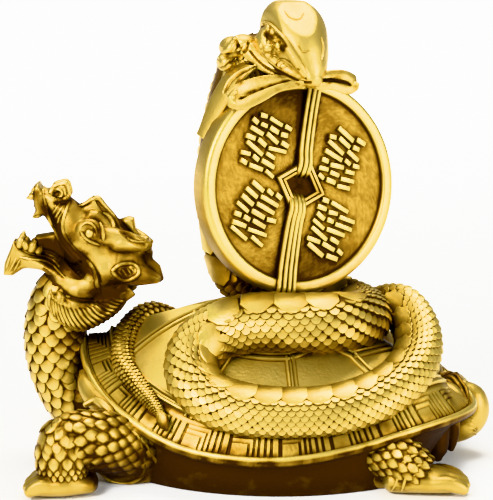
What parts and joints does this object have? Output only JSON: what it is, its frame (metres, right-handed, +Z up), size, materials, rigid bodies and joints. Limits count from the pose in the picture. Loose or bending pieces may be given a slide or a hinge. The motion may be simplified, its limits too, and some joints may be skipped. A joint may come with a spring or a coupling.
{
  "type": "dragon turtle figure",
  "caption": "Standing dragon-headed turtle figure with a snake coiled on its shell, whose raised head holds a ribbon tied round a large pierced coin.",
  "frame": {"origin": "on the flat underside of the belly, level with the soles of the feet, below the middle of the figure's length", "axes": "+Z up, -X towards the dragon's head, -Y towards the side the coin faces"},
  "size_m": [0.1614, 0.1, 0.151],
  "materials": {
    "brass": "cast brass, satin polished on the high places, with dark brown patina in the hollows"
  },
  "bodies": {
    "root": {"dragon_turtle": "brass"}
  },
  "joints": []
}
